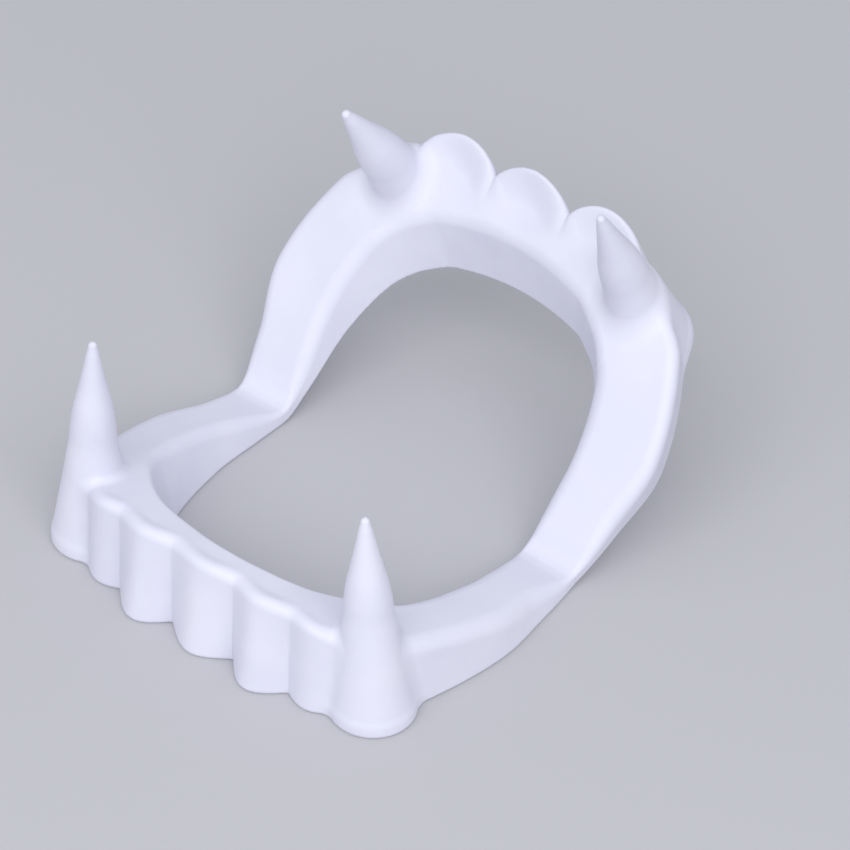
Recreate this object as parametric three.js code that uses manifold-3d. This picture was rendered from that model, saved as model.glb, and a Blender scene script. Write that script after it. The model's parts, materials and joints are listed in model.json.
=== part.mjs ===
// A vampire fang denture: two horseshoe tooth arches of soft white plastic, joined at both
// back ends by a thin folding web. Each arch is a trough: an outer wall with tooth lobes and
// two long fangs, a bite shelf, and an inner wall. The trough is open on the gum side.
// Millimetres, +Z up. The teeth of both arches face -Y when the denture is closed.
// The lower arch stands on its rims and the upper arch leans back, folded open at the web.

import * as THREE from 'three';
import { mergeVertices } from 'three/addons/utils/BufferGeometryUtils.js';
import Module from 'manifold-3d';

const wasm = await Module();
wasm.setup();

// Web and hinge line
const hingeHalfSpan = 29;       // middle of the denture to the outer end of the web
const shelfWidth = 8.5;         // length of the web, across the bite shelf at the hinge
const hingeEndHeight = 1.4;     // rim plane to bite shelf at the hinge
const hingeHeight = hingeEndHeight / 2;
const webThickness = 1.2;
const webClearance = 0.3;       // between the web and each arch end
const openAngle = 144;          // between the two rim planes as the denture stands, degrees
const closedAngle = 86;         // the smallest such angle, where the fangs are about to meet

// Arch sizes
const lowerDepth = 40;          // hinge line to the front of the lower arch
const upperDepth = 39.4;
const lowerFrontShelf = 4.1;    // bite shelf measured across at the front
const upperFrontShelf = 5.6;
const lowerFrontHeight = 13.4;  // rim plane to bite shelf at the front
const upperFrontHeight = 12.8;
const upperRimLift = 2.8;       // the upper arch's inner rim stops short of its rim plane
const lowerFlare = 3.8;         // how far the foot of the inner wall stands in, at the front
const upperFlare = 3.4;
const lowerDraft = 0.1;         // how far the outer wall leans outwards, rim to shelf
const upperDraft = 2.4;

// Walls and edges
const outerWall = 1.5;
const innerWall = 1.2;
const shelfThickness = 1.6;
const outerEdgeRadius = 1.9;
const innerEdgeRadius = 0.7;

// Teeth
const toothBulge = 2.2;         // how far a wide tooth stands out of the outer wall
const toothCrest = 1.3;         // how far the biting edges stand above the shelf
const valleyCrest = 0.6;        // the same between two teeth, as a share of it
const fangHeight = 33;          // rim plane to fang tip
const fangBaseRadius = 5.6;
const fangTipRadius = 0.5;
const fangWall = 1.6;
const fangCoreHeight = 21;      // the hollow inside each fang, from the rim plane up

// How finely curves are divided
const sideSteps = 20;
const toothSteps = 7;
const edgeSteps = 4;
const fangSides = 20;
const webSides = 16;

// How far a cut runs past the face it opens
const cutPast = 1;

// Plan of each arch from the hinge (turn 0) to the front (turn 90).
// across is a share of the hinge half span, forward of the arch depth, innerAcross and
// innerForward of the same sizes less the shelf, crest of the tooth crest and lean of the draft.
const lowerPlan = [
  { turn: 0, across: 1.0, forward: 0, innerAcross: 1.0, innerForward: 0, crest: 0, lean: 0 },
  { turn: 15, across: 0.99, forward: 0.191, innerAcross: 1.039, innerForward: 0.188, crest: 0, lean: 0.5 },
  { turn: 30, across: 1.04, forward: 0.431, innerAcross: 1.078, innerForward: 0.41, crest: 0, lean: 1 },
  { turn: 48, across: 0.962, forward: 0.766, innerAcross: 1.034, innerForward: 0.702, crest: 0.2, lean: 1 },
  { turn: 57, across: 0.86, forward: 0.897, innerAcross: 0.917, innerForward: 0.817, crest: 0.6, lean: 1 },
  { turn: 63, across: 0.71, forward: 0.975, innerAcross: 0.771, innerForward: 0.893, crest: 1, lean: 1 },
  { turn: 70, across: 0.497, forward: 1.0, innerAcross: 0.58, innerForward: 0.952, crest: 1, lean: 1 },
  { turn: 82, across: 0.179, forward: 1.003, innerAcross: 0.224, innerForward: 0.993, crest: 1, lean: 1 },
  { turn: 90, across: 0, forward: 1.0, innerAcross: 0, innerForward: 1.0, crest: 1, lean: 1 },
];
const upperPlan = [
  { turn: 0, across: 1.0, forward: 0, innerAcross: 1.0, innerForward: 0, crest: 0, lean: 0 },
  { turn: 15, across: 1.055, forward: 0.203, innerAcross: 1.022, innerForward: 0.195, crest: 0, lean: 0.25 },
  { turn: 30, across: 1.12, forward: 0.459, innerAcross: 1.049, innerForward: 0.426, crest: 0, lean: 0.8 },
  { turn: 48, across: 0.99, forward: 0.787, innerAcross: 0.985, innerForward: 0.68, crest: 0.3, lean: 1 },
  { turn: 57, across: 0.81, forward: 0.915, innerAcross: 0.859, innerForward: 0.814, crest: 1.4, lean: 0.8 },
  { turn: 63, across: 0.665, forward: 0.97, innerAcross: 0.732, innerForward: 0.888, crest: 2.2, lean: 0.6 },
  { turn: 70, across: 0.49, forward: 0.997, innerAcross: 0.566, innerForward: 0.947, crest: 2.4, lean: 0.6 },
  { turn: 82, across: 0.179, forward: 1.003, innerAcross: 0.224, innerForward: 0.994, crest: 2.4, lean: 0.6 },
  { turn: 90, across: 0, forward: 1.0, innerAcross: 0, innerForward: 1.0, crest: 2.4, lean: 0.6 },
];

// Teeth of one half, from the fang to the middle one, which reaches past turn 90.
// bulge is a share of the tooth bulge.
const lowerTeeth = [
  { from: 62.5, to: 70, bulge: 0.7 },
  { from: 70, to: 82, bulge: 1.25 },
  { from: 82, to: 98, bulge: 1.2 },
];
const upperTeeth = [
  { from: 61, to: 66, bulge: 0.5 },
  { from: 66, to: 80.5, bulge: 1.9 },
  { from: 80.5, to: 99.5, bulge: 1.6 },
];

// Thickness of a fang from rim to tip: rise is a share of its height, girth of its base radius
const fangProfile = [
  { rise: 0, girth: 1 },
  { rise: 0.055, girth: 1 },
  { rise: 0.075, girth: 0.965 },
  { rise: 0.24, girth: 0.82 },
  { rise: 0.4, girth: 0.655 },
  { rise: 0.52, girth: 0.58 },
  { rise: 0.6, girth: 0.535 },
  { rise: 0.68, girth: 0.475 },
  { rise: 0.83, girth: 0.28 },
  { rise: 0.94, girth: 0.15 },
];

// Where each fang stands and how it leans. inset is a share of the base radius; the leans and
// the length are shares of the fang height. side 1 is the +X side of an arch in its own frame.
const lowerFangs = [
  { side: -1, turn: 56.5, inset: 0.3, leanIn: 0.026, leanForward: 0.036, length: 1.023 },
  { side: 1, turn: 56.5, inset: 0.19, leanIn: 0.044, leanForward: 0.058, length: 0.98 },
];
const upperFangs = [
  { side: -1, turn: 60, inset: 0.82, leanIn: -0.038, leanForward: 0.133, length: 1.01 },
  { side: 1, turn: 60, inset: 0.7, leanIn: -0.041, leanForward: 0.04, length: 0.972 },
];

const lowerArch = {
  plan: lowerPlan,
  teeth: lowerTeeth,
  fangs: lowerFangs,
  depth: lowerDepth,
  frontShelf: lowerFrontShelf,
  frontHeight: lowerFrontHeight,
  rimLift: 0,
  flare: lowerFlare,
  draft: lowerDraft,
};
const upperArch = {
  plan: upperPlan,
  teeth: upperTeeth,
  fangs: upperFangs,
  depth: upperDepth,
  frontShelf: upperFrontShelf,
  frontHeight: upperFrontHeight,
  rimLift: upperRimLift,
  flare: upperFlare,
  draft: upperDraft,
};

// One column of a table at any turn, as a smooth curve through its rows. The arch is mirrored
// past the front, where a column keeps its sign (mirror 1) or changes it (mirror -1).
function smooth(rows, column, turn, mirror = 1) {
  const last = rows.length - 1;
  const turns = rows.map((row) => row.turn);
  const values = rows.map((row) => row[column]);
  turns.push(2 * turns[last] - turns[last - 1]);
  values.push(mirror * values[last - 1]);
  let i = 0;
  while (i < last - 1 && turn >= turns[i + 1]) i += 1;
  const slope = (k) => {
    const before = Math.max(k - 1, 0);
    return (values[k + 1] - values[before]) / (turns[k + 1] - turns[before]);
  };
  const length = turns[i + 1] - turns[i];
  const s = (turn - turns[i]) / length;
  return (
    values[i] * (2 * s ** 3 - 3 * s ** 2 + 1) +
    length * slope(i) * (s ** 3 - 2 * s ** 2 + s) +
    values[i + 1] * (3 * s ** 2 - 2 * s ** 3) +
    length * slope(i + 1) * (s ** 3 - s ** 2)
  );
}

// A point of the outer wall in plan, on the +X half
function wallPoint(arch, turn) {
  const across = smooth(arch.plan, 'across', turn, -1);
  const forward = smooth(arch.plan, 'forward', turn);
  return new THREE.Vector2(hingeHalfSpan * across, -arch.depth * forward);
}

// A point of the shelf's inner edge in plan, on the +X half
function innerPoint(arch, turn) {
  const across = smooth(arch.plan, 'innerAcross', turn, -1);
  const forward = smooth(arch.plan, 'innerForward', turn);
  return new THREE.Vector2(
    (hingeHalfSpan - shelfWidth) * across,
    -(arch.depth - arch.frontShelf) * forward,
  );
}

// The tooth at a turn: how far it stands out of the wall, and how full it is there, from 0 at
// its valleys to 1 at its middle
function toothAt(arch, turn) {
  const tooth = arch.teeth.find((row) => turn > row.from && turn < row.to);
  if (!tooth) return { bulge: 0, full: 0 };
  const s = (turn - tooth.from) / (tooth.to - tooth.from);
  const full = (4 * s * (1 - s)) ** 0.8;
  return { bulge: toothBulge * tooth.bulge * full, full };
}

// Everything about the section at any turn from 0 (+X hinge end) to 180 (-X hinge end)
function station(arch, turn) {
  const folded = Math.min(turn, 180 - turn);
  const side = turn <= 90 ? 1 : -1;
  const step = 0.25;
  const wall = wallPoint(arch, folded);
  const ahead = wallPoint(arch, Math.min(folded + step, 90));
  const along = ahead.sub(wallPoint(arch, Math.max(folded - step, 0)));
  if (folded === 90) along.set(-1, 0);
  along.normalize();
  const { bulge, full } = toothAt(arch, folded);
  const outer = new THREE.Vector2(wall.x - along.y * bulge, wall.y + along.x * bulge);
  const inner = innerPoint(arch, folded);
  outer.x *= side;
  inner.x *= side;
  const inward = inner.clone().sub(outer);
  const width = inward.length();
  inward.divideScalar(width);
  const forward = smooth(arch.plan, 'forward', folded);
  const innerForward = smooth(arch.plan, 'innerForward', folded);
  const crest = toothCrest * Math.max(0, smooth(arch.plan, 'crest', folded));
  const outerTop = shelfHeight(arch, forward);
  return {
    outer,
    inward,
    width,
    bulge,
    toothTop: outerTop + crest * (valleyCrest + (1 - valleyCrest) * full),
    outerTop,
    innerTop: shelfHeight(arch, innerForward),
    lean: arch.draft * smooth(arch.plan, 'lean', folded),
    flare: arch.flare * innerForward,
    rimLift: arch.rimLift * innerForward,
  };
}

// Height of the bite shelf above the rim plane
function shelfHeight(arch, forward) {
  const share = Math.min(Math.max(forward, 0), 1) ** 0.91;
  return hingeEndHeight + (arch.frontHeight - hingeEndHeight) * share;
}

// All the turns at which an arch is sectioned, with one at each valley between teeth
function sectionTurns(arch) {
  const first = arch.teeth[0].from;
  const half = [];
  for (let i = 0; i < sideSteps; i += 1) half.push((first * i) / sideSteps);
  for (const tooth of arch.teeth) {
    const end = Math.min(tooth.to, 90);
    const steps = tooth.to > 90 ? Math.ceil(toothSteps * 0.6) : toothSteps;
    for (let i = 0; i < steps; i += 1) half.push(tooth.from + ((end - tooth.from) * i) / steps);
  }
  return [...half, 90, ...half.reverse().map((turn) => 180 - turn)];
}

// Outline of the solid arch across one station, as [distance inwards, height] pairs
function archOutline(place) {
  const outer = Math.min(outerEdgeRadius, place.toothTop * 0.45);
  const inner = Math.min(innerEdgeRadius, place.innerTop * 0.3);
  const outline = [[place.lean, 0]];
  for (let i = 0; i <= edgeSteps; i += 1) {
    const angle = (Math.PI / 2) * (i / edgeSteps);
    outline.push([
      outer * (1 - Math.cos(angle)),
      place.toothTop - outer * (1 - Math.sin(angle)),
    ]);
  }
  const ledge = outer + (place.width - outer - inner) * 0.35;
  outline.push([ledge, place.outerTop + (place.toothTop - place.outerTop) * 0.1]);
  for (const angle of [0, Math.PI / 4, Math.PI / 2]) {
    outline.push([
      place.width - inner * (1 - Math.sin(angle)),
      place.innerTop - inner * (1 - Math.cos(angle)),
    ]);
  }
  outline.push([place.width + place.flare, place.rimLift]);
  return outline;
}

// Outline of the trough under the shelf, from below the rims up
function troughOutline(place) {
  const slope = place.flare / (place.innerTop - place.rimLift);
  const start = place.bulge + outerWall;
  const end = place.width - innerWall;
  return [
    [start + place.lean, -cutPast],
    [start, place.outerTop - shelfThickness],
    [end + slope * shelfThickness, place.innerTop - shelfThickness],
    [end + slope * (place.innerTop + cutPast), -cutPast],
  ];
}

// Closed body through a row of equal outlines, each given as 3-D points
function loft(rings) {
  const count = rings[0].length;
  const positions = [];
  const index = [];
  for (const ring of rings) {
    for (const point of ring) positions.push(point.x, point.y, point.z);
  }
  for (let r = 0; r < rings.length - 1; r += 1) {
    for (let i = 0; i < count; i += 1) {
      const j = (i + 1) % count;
      const a = r * count + i;
      const b = r * count + j;
      index.push(a, b, a + count, b, b + count, a + count);
    }
  }
  const endStart = (rings.length - 1) * count;
  for (const [a, b, c] of capTriangles(rings[0])) index.push(a, c, b);
  for (const [a, b, c] of capTriangles(rings[rings.length - 1])) {
    index.push(endStart + a, endStart + b, endStart + c);
  }
  const geometry = new THREE.BufferGeometry();
  geometry.setAttribute('position', new THREE.Float32BufferAttribute(positions, 3));
  geometry.setIndex(index);
  return geometry;
}

// Triangles that close one end ring, worked out in the ring's own plane
function capTriangles(ring) {
  const origin = ring[0];
  const level = new THREE.Vector3(0, 0, 0);
  for (const point of ring) {
    const offset = new THREE.Vector3(point.x - origin.x, point.y - origin.y, 0);
    if (offset.lengthSq() > level.lengthSq()) level.copy(offset);
  }
  level.normalize();
  const flat = ring.map((point) => new THREE.Vector2(
    (point.x - origin.x) * level.x + (point.y - origin.y) * level.y,
    point.z,
  ));
  const triangles = THREE.ShapeUtils.triangulateShape(flat, []);
  return THREE.ShapeUtils.area(flat) < 0 ? triangles.map(([a, b, c]) => [a, c, b]) : triangles;
}

// Three.js geometry to solid and back
function solidOf(geometry) {
  const bare = geometry.clone();
  bare.deleteAttribute('normal');
  bare.deleteAttribute('uv');
  const merged = mergeVertices(bare, 1e-5);
  const corners = merged.index.array;
  const triVerts = [];
  for (let i = 0; i < corners.length; i += 3) {
    const [a, b, c] = [corners[i], corners[i + 1], corners[i + 2]];
    if (a !== b && b !== c && c !== a) triVerts.push(a, b, c);
  }
  return new wasm.Manifold(new wasm.Mesh({
    numProp: 3,
    vertProperties: new Float32Array(merged.attributes.position.array),
    triVerts: new Uint32Array(triVerts),
  }));
}

function geometryOf(solid) {
  const mesh = solid.getMesh();
  const geometry = new THREE.BufferGeometry();
  geometry.setAttribute('position', new THREE.BufferAttribute(mesh.vertProperties, 3));
  geometry.setIndex(new THREE.BufferAttribute(mesh.triVerts, 1));
  geometry.computeVertexNormals();
  return geometry;
}

// An outline set up across its station, as 3-D points
function standing(place, outline) {
  return outline.map(([inwards, height]) => new THREE.Vector3(
    place.outer.x + place.inward.x * inwards,
    place.outer.y + place.inward.y * inwards,
    height,
  ));
}

// The arch before it is hollowed
function archBlank(arch) {
  const rings = sectionTurns(arch).map((turn) => {
    const place = station(arch, turn);
    return standing(place, archOutline(place));
  });
  return solidOf(loft(rings));
}

// The trough, wherever the arch is tall enough for one
function troughBlank(arch) {
  const shallowest = 0.5;
  const rings = [];
  for (const turn of sectionTurns(arch)) {
    const place = station(arch, turn);
    if (place.innerTop - shelfThickness < shallowest) continue;
    rings.push(standing(place, troughOutline(place)));
  }
  return solidOf(loft(rings));
}

// Centre of a fang's base on the rim plane
function fangBase(arch, fang) {
  const place = station(arch, fang.side > 0 ? fang.turn : 180 - fang.turn);
  return place.outer.clone().addScaledVector(place.inward, fang.inset * fangBaseRadius);
}

// Round profile of a fang, or of the hollow inside it when thinner is the fang's wall
function fangOutline(height, top, thinner, bottom) {
  const profile = [new THREE.Vector2(0, bottom), new THREE.Vector2(fangBaseRadius - thinner, bottom)];
  for (const row of fangProfile) {
    const rise = row.rise * height;
    const radius = row.girth * fangBaseRadius - thinner;
    if (rise > bottom && rise < top) profile.push(new THREE.Vector2(radius, rise));
  }
  for (const degrees of [20, 50]) {
    const angle = THREE.MathUtils.degToRad(degrees);
    profile.push(new THREE.Vector2(
      fangTipRadius * Math.cos(angle),
      top - fangTipRadius * (1 - Math.sin(angle)),
    ));
  }
  profile.push(new THREE.Vector2(0, top));
  return profile;
}

// A leaning cone with that profile, at the fang's place
function fangCone(arch, fang, thinner, top, bottom) {
  const cone = new THREE.LatheGeometry(fangOutline(fangHeight * fang.length, top, thinner, bottom), fangSides);
  cone.rotateX(Math.PI / 2);
  const base = fangBase(arch, fang);
  const lean = new THREE.Matrix4().set(
    1, 0, -fang.side * fang.leanIn, base.x,
    0, 1, -fang.leanForward, base.y,
    0, 0, 1, 0,
    0, 0, 0, 1,
  );
  return solidOf(cone.applyMatrix4(lean));
}

// What is cut from the arch ends: room for the web, and for the two shelves to fold together
function hingeRelief() {
  const length = 4 * hingeHalfSpan;
  const round = new THREE.CylinderGeometry(
    webThickness / 2 + webClearance,
    webThickness / 2 + webClearance,
    length,
    2 * webSides,
  );
  round.rotateZ(Math.PI / 2);
  round.translate(0, 0, hingeHeight);
  const reach = 4 * hingeEndHeight;
  const half = THREE.MathUtils.degToRad(closedAngle / 2 - 1);
  const wedge = new THREE.Shape([
    new THREE.Vector2(0, 0),
    new THREE.Vector2(reach, 0),
    new THREE.Vector2(reach, reach),
    new THREE.Vector2(-reach * Math.cos(half), reach * Math.sin(half)),
  ]);
  const fold = new THREE.ExtrudeGeometry(wedge, { depth: length, bevelEnabled: false });
  fold.translate(0, 0, -length / 2);
  fold.rotateY(Math.PI / 2);
  fold.rotateX(Math.PI / 2);
  fold.translate(0, 0, hingeHeight);
  return solidOf(round).add(solidOf(fold));
}

// One arch, hollowed from the gum side, with its teeth and fangs
function archGeometry(arch) {
  let solid = archBlank(arch);
  for (const fang of arch.fangs) solid = solid.add(fangCone(arch, fang, 0, fangHeight * fang.length, 0));
  solid = solid.subtract(troughBlank(arch));
  for (const fang of arch.fangs) {
    solid = solid.subtract(fangCone(arch, fang, fangWall, fangCoreHeight, -cutPast));
  }
  return geometryOf(solid.subtract(hingeRelief()));
}

// The folding web between the arches at one back end
function webGeometry() {
  const geometry = new THREE.CylinderGeometry(webThickness / 2, webThickness / 2, shelfWidth, webSides);
  geometry.rotateZ(Math.PI / 2);
  return geometry;
}

const whitePlastic = () => new THREE.MeshStandardMaterial({
  color: 0xdadaea,
  roughness: 0.42,
  metalness: 0,
});

function named(name, geometry) {
  const mesh = new THREE.Mesh(geometry, whitePlastic());
  mesh.name = name;
  return mesh;
}

const denture = new THREE.Group();

const lower = named('lower_arch', archGeometry(lowerArch));
denture.add(lower);

// The upper arch is built the same way up, turned round to the other side of the hinge line
// and then tipped up about it
const upper = named('upper_arch', archGeometry(upperArch));
upper.rotation.z = Math.PI;
upper.position.z = -hingeHeight;
const upperFold = new THREE.Group();
upperFold.position.z = hingeHeight;
upperFold.rotation.x = THREE.MathUtils.degToRad(180 - openAngle);
upperFold.add(upper);
denture.add(upperFold);

for (const [name, side] of [['hinge_web_left', -1], ['hinge_web_right', 1]]) {
  const web = named(name, webGeometry());
  web.position.set(side * (hingeHalfSpan - shelfWidth / 2), 0, hingeHeight);
  denture.add(web);
}

// The origin is under the middle of the whole outline, on the surface the denture stands on
denture.updateMatrixWorld(true);
const outlineBox = new THREE.Box3().setFromObject(denture, true);
const middle = outlineBox.getCenter(new THREE.Vector3());
denture.position.set(-middle.x, -middle.y, -outlineBox.min.z);

export default denture;
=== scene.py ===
# Vampire fang denture: one soft white moulding of two horseshoe tooth arches joined by a fold.
#
# The skin is worked out as one smooth solid (rounded edges, tooth lobes, fang roots, gum troughs
# and the fold at each back end) and then parted into the four pieces that follow the joint.
# Lengths are in millimetres until a mesh is made. An arch's own frame has its hinge line at y 0,
# its front teeth towards -y and its biting side up from the rim plane at z 0. Solid fields are
# positive inside and fall by about 1 for each millimetre outwards.

import math

import bmesh
import bpy
import numpy as np
from mathutils import Matrix, Vector
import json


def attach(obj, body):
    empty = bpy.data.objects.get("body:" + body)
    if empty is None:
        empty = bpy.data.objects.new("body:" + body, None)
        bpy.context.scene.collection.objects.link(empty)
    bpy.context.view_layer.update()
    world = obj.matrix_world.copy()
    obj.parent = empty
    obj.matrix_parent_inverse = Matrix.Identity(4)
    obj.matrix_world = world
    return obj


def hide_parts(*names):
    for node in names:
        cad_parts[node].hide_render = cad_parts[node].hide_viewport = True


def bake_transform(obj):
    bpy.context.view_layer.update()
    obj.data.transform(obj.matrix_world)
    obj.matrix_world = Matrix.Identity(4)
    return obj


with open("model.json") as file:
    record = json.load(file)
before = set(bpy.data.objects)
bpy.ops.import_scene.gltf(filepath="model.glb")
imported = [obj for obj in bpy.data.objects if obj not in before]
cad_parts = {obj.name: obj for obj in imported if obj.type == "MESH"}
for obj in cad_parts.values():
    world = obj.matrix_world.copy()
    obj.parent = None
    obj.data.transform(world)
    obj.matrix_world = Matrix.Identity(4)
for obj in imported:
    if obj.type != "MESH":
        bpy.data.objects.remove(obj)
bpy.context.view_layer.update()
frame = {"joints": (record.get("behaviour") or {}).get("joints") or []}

MM = 0.001
HINGE_Y, HINGE_Z = (value / MM for value in frame["joints"][0]["pos_m"][1:])
OPEN_ANGLE = math.radians(144)
COS, SIN = math.cos(OPEN_ANGLE), math.sin(OPEN_ANGLE)

# How finely the solid is sampled, and the room around it
GRID_STEP = 0.36
GRID_SPAN = 34.5
GRID_FRONT, GRID_BACK = 45.5, 37.5
GRID_BOTTOM, GRID_TOP = -1.0, 51.5
COARSE_STEPS = 4
COARSE_REACH = 2.2
POINTS_AT_ONCE = 400000
SLOPE_STEP = 0.04
SETTLE_ROUNDS = 4

# Plan maps of an arch: cell size, lowest corner and number of cells across and along
MAP_STEP = 0.25
MAP_LOW = np.array([0.0, -47.0])
MAP_COUNT = (152, 232)
PLAN_SAMPLES = 721
MIRRORED_SAMPLES = 200
BEHIND_HINGE = 12.0
DISTANCES_AT_ONCE = 4000

# Sizes shared by both arches
HALF_SPAN = 29.0
WEB_LENGTH = 8.5
HINGE_HEIGHT = 1.4
OUTER_WALL = 1.5
INNER_WALL = 1.2
SHELF_THICKNESS = 1.6
TOOTH_BULGE = 2.2
TOOTH_CREST = 1.3
FANG_RADIUS = 5.7
FANG_TIP_RADIUS = 0.48
FANG_WALL = 1.6
FANG_CORE_HEIGHT = 21.0
FANG_NEAR = 16
CORE_FILLET = 0.6
RIM_ROUNDING = 0.5
TROUGH_ROUNDING = 0.8
SHELF_CURVE = 0.91
LOBE_RISE = 0.65
OUTER_ROUND_LIMIT = 0.45
INNER_ROUND_LIMIT = 0.4

# Turns between which the teeth's rounding and the front's rounding take over
TEETH_BEGIN = (57, 65)
FRONT_BEGIN = (35, 60)

# Plan of each arch from the hinge (turn 0) to the front (turn 90), as shares of its sizes
PLAN_COLUMNS = ("turn", "across", "forward", "inner_across", "inner_forward", "crest", "lean")
LOWER_PLAN = (
    (0, 1.0, 0, 1.0, 0, 0, 0),
    (15, 1.005, 0.191, 1.039, 0.188, 0, 1),
    (30, 1.04, 0.431, 1.078, 0.41, 0, 0.5),
    (48, 0.962, 0.766, 1.034, 0.702, 0.1, 0),
    (57, 0.86, 0.897, 0.917, 0.817, 0, 0),
    (63, 0.71, 0.975, 0.771, 0.893, 0.3, 0),
    (70, 0.497, 1.0, 0.58, 0.952, 1.05, 0),
    (82, 0.179, 1.003, 0.224, 0.993, 1.2, 0),
    (90, 0, 1.0, 0, 1.0, 1.2, 0),
)
UPPER_PLAN = (
    (0, 1.0, 0, 1.0, 0, 0, 0),
    (15, 1.06, 0.203, 1.022, 0.195, 0.4, 0.25),
    (30, 1.13, 0.459, 1.049, 0.426, 1.1, 0.8),
    (48, 1.0, 0.792, 0.985, 0.68, 1.1, 1.2),
    (57, 0.81, 0.918, 0.859, 0.814, 1.0, 0.8),
    (64.8, 0.632, 0.995, 0.69, 0.905, 2.82, 0.6),
    (70, 0.493, 1.014, 0.566, 0.947, 2.95, 0.6),
    (80.6, 0.213, 1.02, 0.263, 0.9885, 3.5, 0.6),
    (90, 0, 1.018, 0, 1.0, 3.65, 0.6),
)

# Teeth of one half: turn where each starts and ends, share of the bulge at the rim and the top
LOWER_TEETH = ((62.5, 70, 0.55, 0.25), (70, 82, 1.4, 0.45), (82, 98, 1.35, 0.42))
UPPER_TEETH = ((64.8, 80.6, 1.0, 1.29), (80.6, 99.4, 1.0, 1.25))

# Fang thickness: share of its height, share of the base radius
FANG_PROFILE = (
    (0, 1.03),
    (0.05, 1.02),
    (0.085, 0.968),
    (0.24, 0.822),
    (0.4, 0.678),
    (0.52, 0.575),
    (0.6, 0.54),
    (0.68, 0.474),
    (0.76, 0.373),
    (0.83, 0.288),
    (0.94, 0.165),
    (1.0, 0.1),
)

# Fangs in their arch's own frame, the photo's left one first: base x and y, tip x and y, height
# and share of the girth
LOWER_FANGS = (
    (-24.2, -34.6, -22.95, -35.3, 33.75, 0.955),
    (23.85, -34.7, 22.75, -36.2, 32.1, 0.975),
)
UPPER_FANGS = (
    (-19.3, -34.5, -20.28, -34.85, 32.05, 1.06),
    (19.1, -33.1, 20.13, -37.9, 33.35, 1.0),
)

# The fold between the arches: where the fields blend, where it bends and where it is cut
FOLD_AXIS = np.array([math.sin(OPEN_ANGLE / 2), math.cos(OPEN_ANGLE / 2)])
FOLD_REACH = 6.0
FOLD_BLEND = 3.0
FOLD_CUT = 3.2
CREASE_FILL = 2.4
CREASE_ROUNDING = 1.2

# The moulded skin's unevenness
UNEVEN_DEPTH = 0.1
UNEVEN_PATCH = 7.0
UNEVEN_SEED = 7

# Soft white plastic
CLOUD_DARK = (0.72, 0.72, 0.83, 1)
CLOUD_LIGHT = (0.76, 0.76, 0.86, 1)
CLOUDS_PER_METRE = 90
GRAINS_PER_METRE = 1400
GRAIN_STRENGTH = 0.06
GRAIN_DEPTH = 0.0002
PLASTIC_ROUGHNESS = 0.52
PLASTIC_SPECULAR = 0.4
PLASTIC_IOR = 1.48

# Studio, in metres and watts
FLOOR_SIZE = 4
FLOOR_COLOR = (0.52, 0.52, 0.54, 1)
FLOOR_ROUGHNESS = 0.8
STUDIO_COLOR = (0.9, 0.92, 1.0, 1)
STUDIO_STRENGTH = 0.69
LIGHT_TARGET = (0, 0, 0.015)
LIGHT_WIDTH = 0.7
LIGHTS = (
    ("key", (0.1, -0.7, 0.7), 3.1),
    ("side", (0.65, -0.45, 0.6), 3.6),
)

# The photo's view: direction and slight roll in degrees, distance and target in millimetres,
# focal length and centre in pixels of the 850 pixel frame
FRAME_PIXELS = 850
VIEW_DEGREES = (38.25, 40.25, 2.57)
VIEW_DISTANCE = 514.8
VIEW_TARGET = (3.15, HINGE_Y - 4.42, 15.91)
FOCAL_PIXELS = 3962.7
CENTRE_PIXELS = (405.1, 423.7)
SENSOR_WIDTH = 36

LOWER = {
    "plan": LOWER_PLAN,
    "teeth": LOWER_TEETH,
    "fangs": LOWER_FANGS,
    "depth": 40.0,
    "front_shelf": 4.1,
    "front_height": 13.4,
    "rim_lift": 0.0,
    "flare": 4.2,
    "draft": -0.8,
    "outer_round": 2.1,
    "tooth_round": 1.7,
    "inner_round": 1.6,
    "inner_round_front": 0.45,
    "valley_crest": 0.6,
    "lobe_reach": 3.0,
    "valley_power": (1.05, 1.5),
    "root_fillet": 1.2,
    "even_lobes": 1.0,
}
UPPER = {
    "plan": UPPER_PLAN,
    "teeth": UPPER_TEETH,
    "fangs": UPPER_FANGS,
    "depth": 39.4,
    "front_shelf": 5.6,
    "front_height": 12.8,
    "rim_lift": 2.8,
    "flare": 4.3,
    "draft": 2.4,
    "outer_round": 2.1,
    "tooth_round": 0.8,
    "inner_round": 1.6,
    "inner_round_front": 1.2,
    "valley_crest": 0.44,
    "lobe_reach": 4.5,
    "valley_power": (0.8, 0.7),
    "root_fillet": 2.2,
    "even_lobes": 0.0,
}


def step_between(value, low, high):
    """0 below low, 1 above high, smooth in between."""
    t = np.clip((value - low) / (high - low), 0, 1)
    return t * t * (3 - 2 * t)


def smooth(keys, values, at, mirror=1):
    """A smooth curve through a table's rows, mirrored past its last row."""
    keys = np.append(np.array(keys, float), 2 * keys[-1] - keys[-2])
    values = np.append(np.array(values, float), mirror * values[-2])
    slopes = np.empty(len(keys) - 1)
    slopes[0] = (values[1] - values[0]) / (keys[1] - keys[0])
    slopes[1:] = (values[2:] - values[:-2]) / (keys[2:] - keys[:-2])
    i = np.clip(np.searchsorted(keys, at, side="right") - 1, 0, len(keys) - 3)
    length = keys[i + 1] - keys[i]
    s = (at - keys[i]) / length
    return (
        values[i] * (2 * s**3 - 3 * s**2 + 1)
        + length * slopes[i] * (s**3 - 2 * s**2 + s)
        + values[i + 1] * (3 * s**2 - 2 * s**3)
        + length * slopes[i + 1] * (s**3 - s**2)
    )


def both(a, b, radius):
    """Inside a and inside b, with the edge between them rounded. Fields are positive inside."""
    u, v = np.maximum(radius - a, 0), np.maximum(radius - b, 0)
    return np.where((u > 0) | (v > 0), radius - np.hypot(u, v), np.minimum(a, b))


def either(a, b, radius):
    """Inside a or inside b, with the corner between them filled."""
    return -both(-a, -b, radius)


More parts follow.
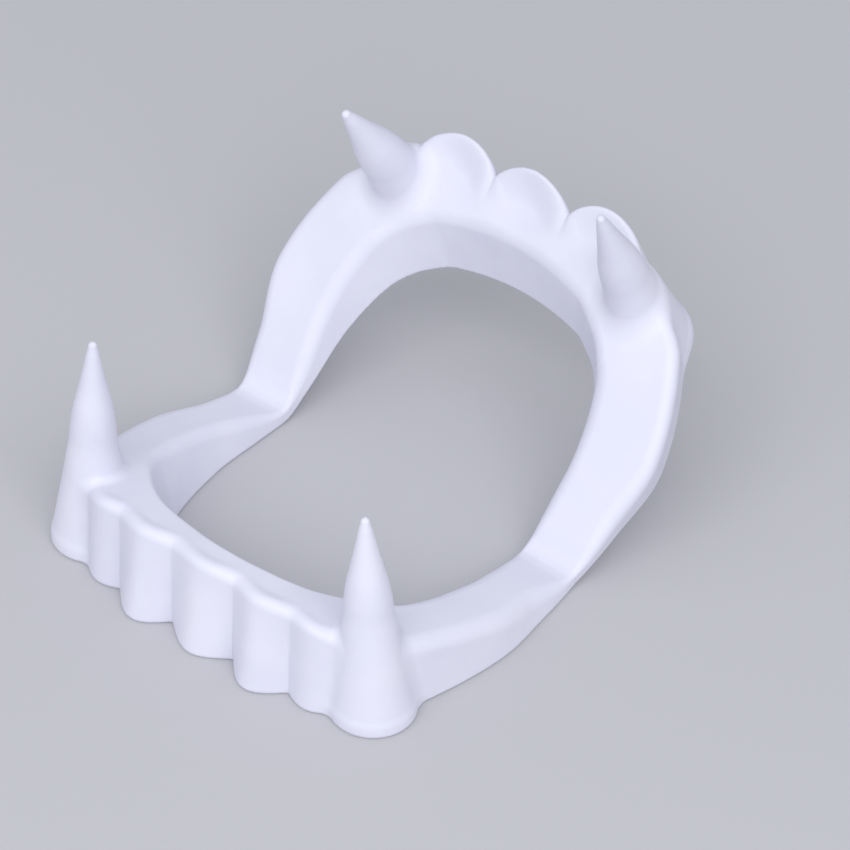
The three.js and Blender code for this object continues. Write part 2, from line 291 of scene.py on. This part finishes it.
def column(arch, name, at, mirror=1):
    """A column of an arch's plan as a smooth curve over the turn."""
    index = PLAN_COLUMNS.index(name)
    rows = arch["plan"]
    return smooth([row[0] for row in rows], [row[index] for row in rows], at, mirror)


def tooth_at(arch, turn, level):
    """How far the tooth at a turn stands out at the rim (level 0) or the top (level 1), and
    how full it is there, from 0 in its valleys to 1."""
    bulge, full = np.zeros_like(turn), np.zeros_like(turn)
    for tooth in arch["teeth"]:
        s = np.clip((turn - tooth[0]) / (tooth[1] - tooth[0]), 0, 1)
        here = np.maximum(np.sin(math.pi * s), 0) ** arch["valley_power"][level]
        bulge += TOOTH_BULGE * tooth[2 + level] * here
        full += here
    return bulge, full


def outlines(arch):
    """Plan curves of the wall, the lobed wall at rim and top, and the shelf's inner edge."""
    turn = np.linspace(0, 90, PLAN_SAMPLES)
    across = HALF_SPAN * column(arch, "across", turn, -1)
    forward = -arch["depth"] * column(arch, "forward", turn)
    along = np.stack([np.gradient(across), np.gradient(forward)], -1)
    along[0], along[-1] = (0, -1), (-1, 0)
    along /= np.hypot(*along.T)[:, None]
    outward = np.stack([-along[:, 1], along[:, 0]], -1)
    wall = np.stack([across, forward], -1)
    lobed = [wall + outward * tooth_at(arch, turn, level)[0][:, None] for level in (0, 1)]
    inner = np.stack(
        [
            (HALF_SPAN - WEB_LENGTH) * column(arch, "inner_across", turn, -1),
            -(arch["depth"] - arch["front_shelf"]) * column(arch, "inner_forward", turn),
        ],
        -1,
    )
    curves = []
    for curve in (wall, *lobed, inner):
        start = curve[:1] + np.array([[0, BEHIND_HINGE]])
        mirrored = curve[-2:-MIRRORED_SAMPLES:-1] * np.array([-1, 1])
        curves.append(np.concatenate([start, curve, mirrored]))
    turns = np.concatenate([[0], turn, turn[-2:-MIRRORED_SAMPLES:-1]])
    return curves, turns


def signed_distance(points, curve, turns):
    """Distance inside a plan curve that is closed behind the hinge, and the turn nearest to it."""
    a, b = curve[:-1], curve[1:]
    d = b - a
    squared = (d**2).sum(1)
    best = np.empty(len(points))
    turn = np.empty(len(points))
    for i in range(0, len(points), DISTANCES_AT_ONCE):
        here = slice(i, i + DISTANCES_AT_ONCE)
        p = points[here, None]
        t = np.clip(((p - a) * d).sum(-1) / squared, 0, 1)
        gap = ((p - a - t[..., None] * d) ** 2).sum(-1)
        k = gap.argmin(1)
        rows = np.arange(len(k))
        best[here] = np.sqrt(gap[rows, k])
        turn[here] = turns[k] + t[rows, k] * (turns[k + 1] - turns[k])
    ring = np.concatenate([curve, [[curve[-1, 0], BEHIND_HINGE]]])
    inside = np.zeros(len(points), bool)
    for p, q in zip(ring, np.roll(ring, -1, axis=0)):
        if p[1] == q[1]:
            continue
        crosses = (p[1] > points[:, 1]) != (q[1] > points[:, 1])
        inside ^= crosses & (
            points[:, 0] < (q[0] - p[0]) * (points[:, 1] - p[1]) / (q[1] - p[1]) + p[0]
        )
    return np.where(inside, best, -best), turn


def shelf_height(arch, share):
    """The shelf's height at a share of the way from the hinge to the front."""
    rise = np.clip(share, 0, 1) ** SHELF_CURVE
    return HINGE_HEIGHT + (arch["front_height"] - HINGE_HEIGHT) * rise


def make_maps(arch):
    """Everything about an arch that depends only on the plan position, on one grid."""
    x = MAP_LOW[0] + MAP_STEP * np.arange(MAP_COUNT[0])
    y = MAP_LOW[1] + MAP_STEP * np.arange(MAP_COUNT[1])
    points = np.stack(np.meshgrid(x, y, indexing="ij"), -1).reshape(-1, 2)
    (wall, rim, top, inner), turns = outlines(arch)
    from_wall, turn = signed_distance(points, wall, turns)
    from_rim, _ = signed_distance(points, rim, turns)
    from_top, _ = signed_distance(points, top, turns)
    from_inner, _ = signed_distance(points, inner, turns)
    from_inner = -from_inner
    share = np.clip(from_wall / np.maximum(from_wall + from_inner, 0.5), 0, 1)
    depth = arch["depth"] - arch["front_shelf"] * share
    forward = np.clip(-points[:, 1] / depth, 0, 1)
    shelf = shelf_height(arch, forward)
    _, full = tooth_at(arch, turn, 1)
    crest = TOOTH_CREST * np.maximum(column(arch, "crest", turn), 0)
    near_edge = 1 - step_between(from_top, 0, arch["lobe_reach"])
    crest *= arch["valley_crest"] + (1 - arch["valley_crest"]) * full * near_edge
    crest *= np.clip(1 - from_top / np.maximum(from_top + from_inner, 1), 0, 1)
    teeth = step_between(turn, *TEETH_BEGIN)
    front = step_between(turn, *FRONT_BEGIN)
    maps = np.stack(
        [
            from_wall,
            from_rim,
            from_top,
            from_inner,
            shelf + crest,
            shelf,
            share,
            arch["draft"] * np.maximum(column(arch, "lean", turn), 0),
            arch["flare"] * forward,
            arch["rim_lift"] * forward,
            arch["outer_round"] * (1 - teeth) + arch["tooth_round"] * teeth,
            arch["inner_round"] * (1 - front) + arch["inner_round_front"] * front,
        ],
        -1,
    )
    return maps.reshape(*MAP_COUNT, -1)


def sample(maps, x, y):
    """The plan maps' values between their cells, the same on both sides of the middle."""
    u = np.clip((np.abs(x) - MAP_LOW[0]) / MAP_STEP, 0, MAP_COUNT[0] - 1.001)
    v = np.clip((y - MAP_LOW[1]) / MAP_STEP, 0, MAP_COUNT[1] - 1.001)
    i, j = u.astype(int), v.astype(int)
    s, t = (u - i)[:, None], (v - j)[:, None]
    return (
        maps[i, j] * (1 - s) * (1 - t)
        + maps[i + 1, j] * s * (1 - t)
        + maps[i, j + 1] * (1 - s) * t
        + maps[i + 1, j + 1] * s * t
    ).T


def fang_field(p, fang, thinner=0, top=math.inf):
    """A leaning cone with the fang's profile, thinner and cut at a top for the core inside it."""
    base_x, base_y, tip_x, tip_y, height, girth = fang
    end = min(top, height) - FANG_TIP_RADIUS
    z = np.clip(p[2], 0, end)
    profile_rise = [row[0] for row in FANG_PROFILE]
    profile_girth = [row[1] for row in FANG_PROFILE]
    radius = FANG_RADIUS * girth * smooth(profile_rise, profile_girth, z / height) - thinner
    centre_x = base_x + (tip_x - base_x) * z / height
    centre_y = base_y + (tip_y - base_y) * z / height
    over = np.maximum(p[2] - end, 0)
    return radius - np.sqrt((p[0] - centre_x) ** 2 + (p[1] - centre_y) ** 2 + over**2)


def parts_of(arch, maps, p):
    """The separate fields of an arch at points in its own frame."""
    x, y, z = p
    values = sample(maps, x, y)
    from_wall, from_rim, from_top, from_inner, top, shelf, share, lean, flare, lift = values[:10]
    outer_round, inner_round = values[10:]
    height = np.clip(z / top, 0, 1)
    even = arch["even_lobes"]
    rise = even * height + (1 - even) * step_between(height, 0, LOBE_RISE)
    outer = from_rim * (1 - rise) + from_top * rise - lean * (1 - height)
    inner = from_inner + flare * (1 - np.clip((z - lift) / (top - lift), 0, 1))
    trough_side = from_wall - OUTER_WALL - lean * (1 - height)
    ceiling = both(trough_side, shelf - SHELF_THICKNESS - z, TROUGH_ROUNDING)
    return {
        "outer": outer,
        "top": top - z,
        "inner": inner,
        "bottom": z - lift * share,
        "hollow": both(ceiling, inner - INNER_WALL, TROUGH_ROUNDING),
        "outer_round": np.minimum(outer_round, top * OUTER_ROUND_LIMIT),
        "inner_round": np.minimum(inner_round, top * INNER_ROUND_LIMIT),
    }


def joined(parts):
    """The shelf with its outer and inner walls, before the rim and the trough."""
    body = both(parts["outer"], parts["top"], parts["outer_round"])
    return both(body, parts["inner"], parts["inner_round"])


def arch_field(arch, maps, p):
    """A whole arch: walls, shelf, teeth and fangs, less the trough and the fangs' cores."""
    parts = parts_of(arch, maps, p)
    body, hollow = joined(parts), parts["hollow"]
    for fang in arch["fangs"]:
        near = np.hypot(p[0] - fang[0], p[1] - fang[1]) < FANG_NEAR
        part = p[:, near]
        body[near] = either(body[near], fang_field(part, fang), arch["root_fillet"])
        core = fang_field(part, fang, FANG_WALL, FANG_CORE_HEIGHT)
        hollow[near] = either(hollow[near], core, CORE_FILLET)
    body = both(body, parts["bottom"], RIM_ROUNDING)
    return both(body, -hollow, RIM_ROUNDING)


def to_lower(p):
    """Points of the row frame in the lower arch's own frame."""
    return np.stack([p[0], p[1] - HINGE_Y, p[2]])


def to_upper(p):
    """Points of the row frame in the upper arch's own frame."""
    y, z = p[1] - HINGE_Y, p[2] - HINGE_Z
    return np.stack([p[0], y * COS - z * SIN, HINGE_Z - y * SIN - z * COS])


def past_fold(p):
    """Distance past the plane midway between the arches, positive on the upper arch's side."""
    return (p[1] - HINGE_Y) * FOLD_AXIS[0] + (p[2] - HINGE_Z) * FOLD_AXIS[1]


LOWER_MAPS = make_maps(LOWER)
UPPER_MAPS = make_maps(UPPER)


def field(p):
    """The whole denture, positive inside, at 3 by n points in the row frame."""
    s = past_fold(p)
    out = np.empty(p.shape[1])
    low, high = s < -FOLD_REACH, s > FOLD_REACH
    middle = ~(low | high)
    out[low] = arch_field(LOWER, LOWER_MAPS, to_lower(p[:, low]))
    out[high] = arch_field(UPPER, UPPER_MAPS, to_upper(p[:, high]))
    a = parts_of(LOWER, LOWER_MAPS, to_lower(p[:, middle]))
    b = parts_of(UPPER, UPPER_MAPS, to_upper(p[:, middle]))
    w = step_between(s[middle], -FOLD_BLEND, FOLD_BLEND)
    fold = {name: a[name] * (1 - w) + b[name] * w for name in a}
    fold["top"] = either(a["top"], b["top"], CREASE_FILL)
    fold["bottom"] = both(a["bottom"], b["bottom"], CREASE_ROUNDING)
    fold["hollow"] = np.maximum(a["hollow"], b["hollow"])
    body = both(joined(fold), fold["bottom"], RIM_ROUNDING)
    out[middle] = both(body, -fold["hollow"], RIM_ROUNDING)
    return out


def grid_values(low, counts, step):
    """The field on a grid. A coarse pass leaves out everything far from the surface."""
    coarse = COARSE_STEPS
    coarse_counts = [math.ceil((n - 1) / coarse) + 1 for n in counts]
    axes = [low[a] + step * coarse * np.arange(coarse_counts[a]) for a in range(3)]
    points = np.stack(np.meshgrid(*axes, indexing="ij")).reshape(3, -1)
    far = field(points).reshape(coarse_counts)
    reach = step * coarse * COARSE_REACH
    close = np.abs(far) < reach
    cells = np.zeros([n - 1 for n in coarse_counts], bool)
    for corner in np.ndindex(2, 2, 2):
        cells |= close[tuple(slice(a, n - 1 + a) for a, n in zip(corner, close.shape))]
    values, wanted = far[:-1, :-1, :-1], cells
    for axis in range(3):
        values = np.repeat(values, coarse, axis)
        wanted = np.repeat(wanted, coarse, axis)
    whole = tuple(slice(0, n) for n in counts)
    values, wanted = np.ascontiguousarray(values[whole]), wanted[whole]
    index = np.stack(np.nonzero(wanted))
    for i in range(0, index.shape[1], POINTS_AT_ONCE):
        part = index[:, i : i + POINTS_AT_ONCE]
        p = np.array(low)[:, None] + step * part
        values[part[0], part[1], part[2]] = field(p)
    return values


def surface_net(low, high, step):
    """Vertices and quads of the field's surface: one vertex in each grid cell it passes."""
    counts = [int(math.ceil((high[a] - low[a]) / step)) + 1 for a in range(3)]
    counts = [COARSE_STEPS * math.ceil((n - 1) / COARSE_STEPS) for n in counts]
    values = grid_values(low, counts, step)
    inside = values > 0
    cells = [n - 1 for n in counts]
    total = np.zeros(cells, np.int8)
    corners = list(np.ndindex(2, 2, 2))
    for i, j, k in corners:
        total += inside[i : i + cells[0], j : j + cells[1], k : k + cells[2]]
    active = (total > 0) & (total < 8)
    number = np.full(cells, -1, np.int64)
    number[active] = np.arange(active.sum())
    cell = np.stack(np.nonzero(active), -1)
    sums, hits = np.zeros((len(cell), 3)), np.zeros(len(cell))
    for axis in range(3):
        for corner in corners:
            if corner[axis]:
                continue
            a = cell + corner
            b = a.copy()
            b[:, axis] += 1
            fa, fb = values[tuple(a.T)], values[tuple(b.T)]
            crossed = (fa > 0) != (fb > 0)
            t = np.where(crossed, fa / np.where(crossed, fa - fb, 1), 0)
            point = a + 0.0
            point[:, axis] += t
            sums[crossed] += point[crossed]
            hits += crossed
    vertices = np.array(low) + step * sums / hits[:, None]
    quads = []
    for axis in range(3):
        u, v = (axis + 1) % 3, (axis + 2) % 3
        first = [slice(0, n) for n in counts]
        second = [slice(0, n) for n in counts]
        first[axis], second[axis] = slice(0, counts[axis] - 1), slice(1, counts[axis])
        fa, fb = inside[tuple(first)], inside[tuple(second)]
        for leaving, keep in ((True, fa & ~fb), (False, ~fa & fb)):
            edge = np.stack(np.nonzero(keep), -1)
            around = []
            for du, dv in ((1, 1), (0, 1), (0, 0), (1, 0)):
                c = edge.copy()
                c[:, u] -= du
                c[:, v] -= dv
                around.append(number[tuple(c.T)])
            quad = np.stack(around, -1)
            quads.append(quad if leaving else quad[:, ::-1])
    return vertices, np.concatenate(quads)


def gradient(p):
    """The field's slope at points."""
    g = np.empty_like(p)
    for axis in range(3):
        d = np.zeros((3, 1))
        d[axis] = SLOPE_STEP
        g[axis] = (field(p + d) - field(p - d)) / (2 * SLOPE_STEP)
    return g


def settle(vertices, quads, step):
    """Evens the vertices out over the surface and brings them onto it."""
    p = vertices.T.copy()
    edges = np.concatenate([quads[:, [i, (i + 1) % 4]] for i in range(4)])
    for turn in range(SETTLE_ROUNDS):
        g = gradient(p)
        squared = np.maximum((g**2).sum(0), 0.2)
        move = -field(p) * g / squared
        length = np.sqrt((move**2).sum(0))
        move *= np.minimum(1, 0.5 * step / np.maximum(length, 1e-9))
        p += move
        if turn == SETTLE_ROUNDS - 1:
            break
        total = np.zeros_like(p)
        for axis in range(3):
            total[axis] = np.bincount(edges[:, 0], p[axis, edges[:, 1]], p.shape[1])
        count = np.bincount(edges[:, 0], minlength=p.shape[1])
        pull = total / count - p
        n = g / np.sqrt(np.maximum((g**2).sum(0), 1e-12))
        pull -= n * (pull * n).sum(0)
        p += 0.5 * pull
    return p.T


def material():
    """Soft white plastic, slightly bluish, with faint moulding cloudiness and a fine grain."""
    mat = bpy.data.materials.new("soft_white_plastic")
    mat.use_nodes = True
    nodes, links = mat.node_tree.nodes, mat.node_tree.links
    shader = nodes["Principled BSDF"]
    place = nodes.new("ShaderNodeTexCoord")
    cloud = nodes.new("ShaderNodeTexNoise")
    cloud.inputs["Scale"].default_value = CLOUDS_PER_METRE
    cloud.inputs["Detail"].default_value = 3
    links.new(place.outputs["Object"], cloud.inputs["Vector"])
    tone = nodes.new("ShaderNodeValToRGB")
    tone.color_ramp.elements[0].position = 0.35
    tone.color_ramp.elements[0].color = CLOUD_DARK
    tone.color_ramp.elements[1].position = 0.65
    tone.color_ramp.elements[1].color = CLOUD_LIGHT
    links.new(cloud.outputs["Fac"], tone.inputs["Fac"])
    links.new(tone.outputs["Color"], shader.inputs["Base Color"])
    grain = nodes.new("ShaderNodeTexNoise")
    grain.inputs["Scale"].default_value = GRAINS_PER_METRE
    grain.inputs["Detail"].default_value = 2
    links.new(place.outputs["Object"], grain.inputs["Vector"])
    bump = nodes.new("ShaderNodeBump")
    bump.inputs["Strength"].default_value = GRAIN_STRENGTH
    bump.inputs["Distance"].default_value = GRAIN_DEPTH
    links.new(grain.outputs["Fac"], bump.inputs["Height"])
    links.new(bump.outputs["Normal"], shader.inputs["Normal"])
    shader.inputs["Roughness"].default_value = PLASTIC_ROUGHNESS
    shader.inputs["Specular IOR Level"].default_value = PLASTIC_SPECULAR
    shader.inputs["IOR"].default_value = PLASTIC_IOR
    return mat


def input_socket(group, name, kind, value):
    """A named input of a node group, with its default."""
    socket = group.interface.new_socket(name, in_out="INPUT", socket_type=kind)
    if value is not None:
        socket.default_value = value


def uneven_skin_group():
    """Moves a moulded skin in and out by a soft seeded pattern, and gives it its finish."""
    group = bpy.data.node_groups.new("uneven_skin", "GeometryNodeTree")
    input_socket(group, "Geometry", "NodeSocketGeometry", None)
    input_socket(group, "Depth", "NodeSocketFloat", 0.0)
    input_socket(group, "Patches per Metre", "NodeSocketFloat", 100.0)
    input_socket(group, "Seed", "NodeSocketInt", 1)
    input_socket(group, "Finish", "NodeSocketMaterial", None)
    group.interface.new_socket("Geometry", in_out="OUTPUT", socket_type="NodeSocketGeometry")
    nodes, links = group.nodes, group.links
    entry, leaving = nodes.new("NodeGroupInput"), nodes.new("NodeGroupOutput")
    pattern = nodes.new("ShaderNodeTexNoise")
    pattern.noise_dimensions = "4D"
    pattern.inputs["Detail"].default_value = 1.0
    place = nodes.new("GeometryNodeInputPosition")
    links.new(place.outputs["Position"], pattern.inputs["Vector"])
    links.new(entry.outputs["Seed"], pattern.inputs["W"])
    links.new(entry.outputs["Patches per Metre"], pattern.inputs["Scale"])
    centred = nodes.new("ShaderNodeMath")
    centred.operation = "SUBTRACT"
    centred.inputs[1].default_value = 0.5
    links.new(pattern.outputs["Fac"], centred.inputs[0])
    height = nodes.new("ShaderNodeMath")
    height.operation = "MULTIPLY"
    links.new(centred.outputs[0], height.inputs[0])
    links.new(entry.outputs["Depth"], height.inputs[1])
    normal = nodes.new("GeometryNodeInputNormal")
    offset = nodes.new("ShaderNodeVectorMath")
    offset.operation = "SCALE"
    links.new(normal.outputs["Normal"], offset.inputs[0])
    links.new(height.outputs[0], offset.inputs["Scale"])
    moved = nodes.new("GeometryNodeSetPosition")
    links.new(entry.outputs["Geometry"], moved.inputs["Geometry"])
    links.new(offset.outputs["Vector"], moved.inputs["Offset"])
    real = nodes.new("GeometryNodeRealizeInstances")
    links.new(moved.outputs["Geometry"], real.inputs["Geometry"])
    finish = nodes.new("GeometryNodeSetMaterial")
    links.new(real.outputs["Geometry"], finish.inputs["Geometry"])
    links.new(entry.outputs["Finish"], finish.inputs["Material"])
    links.new(finish.outputs["Geometry"], leaving.inputs["Geometry"])
    return group


def moulded_skin(vertices, quads, mat):
    """The whole denture as one mesh, softly uneven as moulded plastic is. Its rim stays on the
    table, and its normals are the field's, tilted as the unevenness tilts the faces."""
    mesh = bpy.data.meshes.new("denture_skin")
    mesh.from_pydata((vertices * MM).tolist(), [], quads.tolist())
    mesh.shade_smooth()
    before = vertex_normals(mesh)
    obj = bpy.data.objects.new("denture_skin", mesh)
    bpy.context.scene.collection.objects.link(obj)
    skin = obj.modifiers.new("uneven_skin", "NODES")
    skin.node_group = uneven_skin_group()
    values = {
        "Depth": UNEVEN_DEPTH * MM,
        "Patches per Metre": 1 / (UNEVEN_PATCH * MM),
        "Seed": UNEVEN_SEED,
        "Finish": mat,
    }
    for socket in skin.node_group.interface.items_tree:
        if socket.name in values:
            skin[socket.identifier] = values[socket.name]
    graph = bpy.context.evaluated_depsgraph_get()
    done = bpy.data.meshes.new_from_object(obj.evaluated_get(graph))
    obj.modifiers.remove(skin)
    bpy.data.objects.remove(obj)
    settled = np.empty(len(vertices) * 3, np.float32)
    done.vertices.foreach_get("co", settled)
    settled[2::3] = np.maximum(settled[2::3], 0)
    done.vertices.foreach_set("co", settled)
    slope = -gradient(vertices.T).T
    exact = slope / np.maximum(np.linalg.norm(slope, axis=1), 1e-9)[:, None]
    normals = exact + vertex_normals(done) - before
    kept = done.attributes.new("skin_normal", "FLOAT_VECTOR", "POINT")
    kept.data.foreach_set("vector", normals.astype(np.float32).ravel())
    return done


def vertex_normals(mesh):
    """Blender's own smooth normals."""
    out = np.empty(len(mesh.vertices) * 3, np.float32)
    mesh.vertex_normals.foreach_get("vector", out)
    return out.reshape(-1, 3).astype(float)


def piece(name, skin, low, high, side):
    """One closed piece of the skin: the part between two flat cuts, on one side or on both."""
    work = bmesh.new()
    work.from_mesh(skin)
    if side:
        wrong = [vertex for vertex in work.verts if vertex.co.x * side < 0]
        bmesh.ops.delete(work, geom=wrong, context="VERTS")
    for past, direction in ((low, -1), (high, 1)):
        if past is None:
            continue
        everything = work.verts[:] + work.edges[:] + work.faces[:]
        place = Vector((0, *on_fold_axis(past))) * MM
        outward = Vector((0, *FOLD_AXIS)) * direction
        bmesh.ops.bisect_plane(
            work, geom=everything, plane_co=place, plane_no=outward, clear_outer=True
        )
    open_edges = [edge for edge in work.edges if edge.is_boundary]
    caps = bmesh.ops.holes_fill(work, edges=open_edges, sides=0)["faces"]
    for face in work.faces:
        face.smooth = True
    for face in caps:
        face.smooth = False
    mesh = bpy.data.meshes.new(name)
    work.to_mesh(mesh)
    work.free()
    kept = mesh.attributes["skin_normal"]
    by_vertex = np.empty(len(mesh.vertices) * 3, np.float32)
    kept.data.foreach_get("vector", by_vertex)
    by_vertex = by_vertex.reshape(-1, 3)
    by_corner = []
    for polygon in mesh.polygons:
        for index in polygon.vertices:
            by_corner.append(by_vertex[index] if polygon.use_smooth else polygon.normal)
    mesh.attributes.remove(kept)
    mesh.normals_split_custom_set(by_corner)
    mesh.materials.clear()
    mesh.materials.append(skin.materials[0])
    obj = bpy.data.objects.new(name, mesh)
    bpy.context.scene.collection.objects.link(obj)
    return obj


def on_fold_axis(past):
    """The height and depth of a point a distance past the middle of the fold."""
    return HINGE_Y + past * FOLD_AXIS[0], HINGE_Z + past * FOLD_AXIS[1]


def build_denture():
    """Makes the skin, parts it in four, and hands the two arch pieces to the joint's bodies; the
    two fold pieces stay unattached.
    """
    low = (-GRID_SPAN, HINGE_Y - GRID_FRONT, GRID_BOTTOM)
    high = (GRID_SPAN, HINGE_Y + GRID_BACK, GRID_TOP)
    vertices, quads = surface_net(low, high, GRID_STEP)
    vertices = settle(vertices, quads, GRID_STEP)
    skin = moulded_skin(vertices, quads, material())
    lower = piece("lower_arch_shell", skin, None, -FOLD_CUT, 0)
    upper = piece("upper_arch_shell", skin, FOLD_CUT, None, 0)
    web_left = piece("hinge_fold_left", skin, -FOLD_CUT, FOLD_CUT, -1)
    web_right = piece("hinge_fold_right", skin, -FOLD_CUT, FOLD_CUT, 1)
    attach(lower, "lower")
    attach(upper, "upper")
    for web in (web_left, web_right):
        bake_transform(web)
    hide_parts("lower_arch")
    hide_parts("upper_arch")
    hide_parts("hinge_web_left")
    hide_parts("hinge_web_right")


def pale(name, color, roughness):
    """A plain finish of one colour."""
    mat = bpy.data.materials.new(name)
    mat.use_nodes = True
    shader = mat.node_tree.nodes["Principled BSDF"]
    shader.inputs["Base Color"].default_value = color
    shader.inputs["Roughness"].default_value = roughness
    return mat


def area_light(name, place, power):
    """A large soft light that faces the denture."""
    data = bpy.data.lights.new(name, "AREA")
    data.shape = "SQUARE"
    data.size = LIGHT_WIDTH
    data.energy = power
    lamp = bpy.data.objects.new(name, data)
    lamp.location = place
    lamp.rotation_mode = "QUATERNION"
    lamp.rotation_quaternion = (Vector(LIGHT_TARGET) - Vector(place)).to_track_quat("-Z", "Y")
    bpy.context.scene.collection.objects.link(lamp)


def build_stage():
    """A pale floor, even studio light and two large soft lights."""
    bpy.ops.mesh.primitive_plane_add(size=FLOOR_SIZE)
    floor = bpy.context.object
    floor.name = "floor"
    floor.data.materials.append(pale("floor_pale", FLOOR_COLOR, FLOOR_ROUGHNESS))
    world = bpy.data.worlds.new("studio")
    bpy.context.scene.world = world
    world.use_nodes = True
    background = world.node_tree.nodes["Background"]
    background.inputs["Color"].default_value = STUDIO_COLOR
    background.inputs["Strength"].default_value = STUDIO_STRENGTH
    for name, place, power in LIGHTS:
        area_light(name, place, power)


def build_camera():
    """The photo's view: its direction, distance and slight turn about the line of sight."""
    azimuth, elevation, roll = (math.radians(value) for value in VIEW_DEGREES)
    right = Vector((math.cos(azimuth), math.sin(azimuth), 0))
    back = Vector(
        (
            math.sin(azimuth) * math.cos(elevation),
            -math.cos(azimuth) * math.cos(elevation),
            math.sin(elevation),
        )
    )
    up = back.cross(right)
    turned_right = right * math.cos(roll) + up * math.sin(roll)
    turned_up = up * math.cos(roll) - right * math.sin(roll)
    data = bpy.data.cameras.new("photo_view")
    data.sensor_width = SENSOR_WIDTH
    data.lens = SENSOR_WIDTH * FOCAL_PIXELS / FRAME_PIXELS
    data.shift_x = (FRAME_PIXELS / 2 - CENTRE_PIXELS[0]) / FRAME_PIXELS
    data.shift_y = (CENTRE_PIXELS[1] - FRAME_PIXELS / 2) / FRAME_PIXELS
    data.clip_start, data.clip_end = 0.01, 20
    camera = bpy.data.objects.new("photo_view", data)
    bpy.context.scene.collection.objects.link(camera)
    target = Vector(VIEW_TARGET) * MM
    turn = Matrix((turned_right, turned_up, back)).transposed().to_4x4()
    camera.matrix_world = Matrix.Translation(target + back * VIEW_DISTANCE * MM) @ turn
    bpy.context.scene.camera = camera


build_camera()
build_stage()
build_denture()

scene = bpy.context.scene
scene.view_settings.view_transform = "Standard"
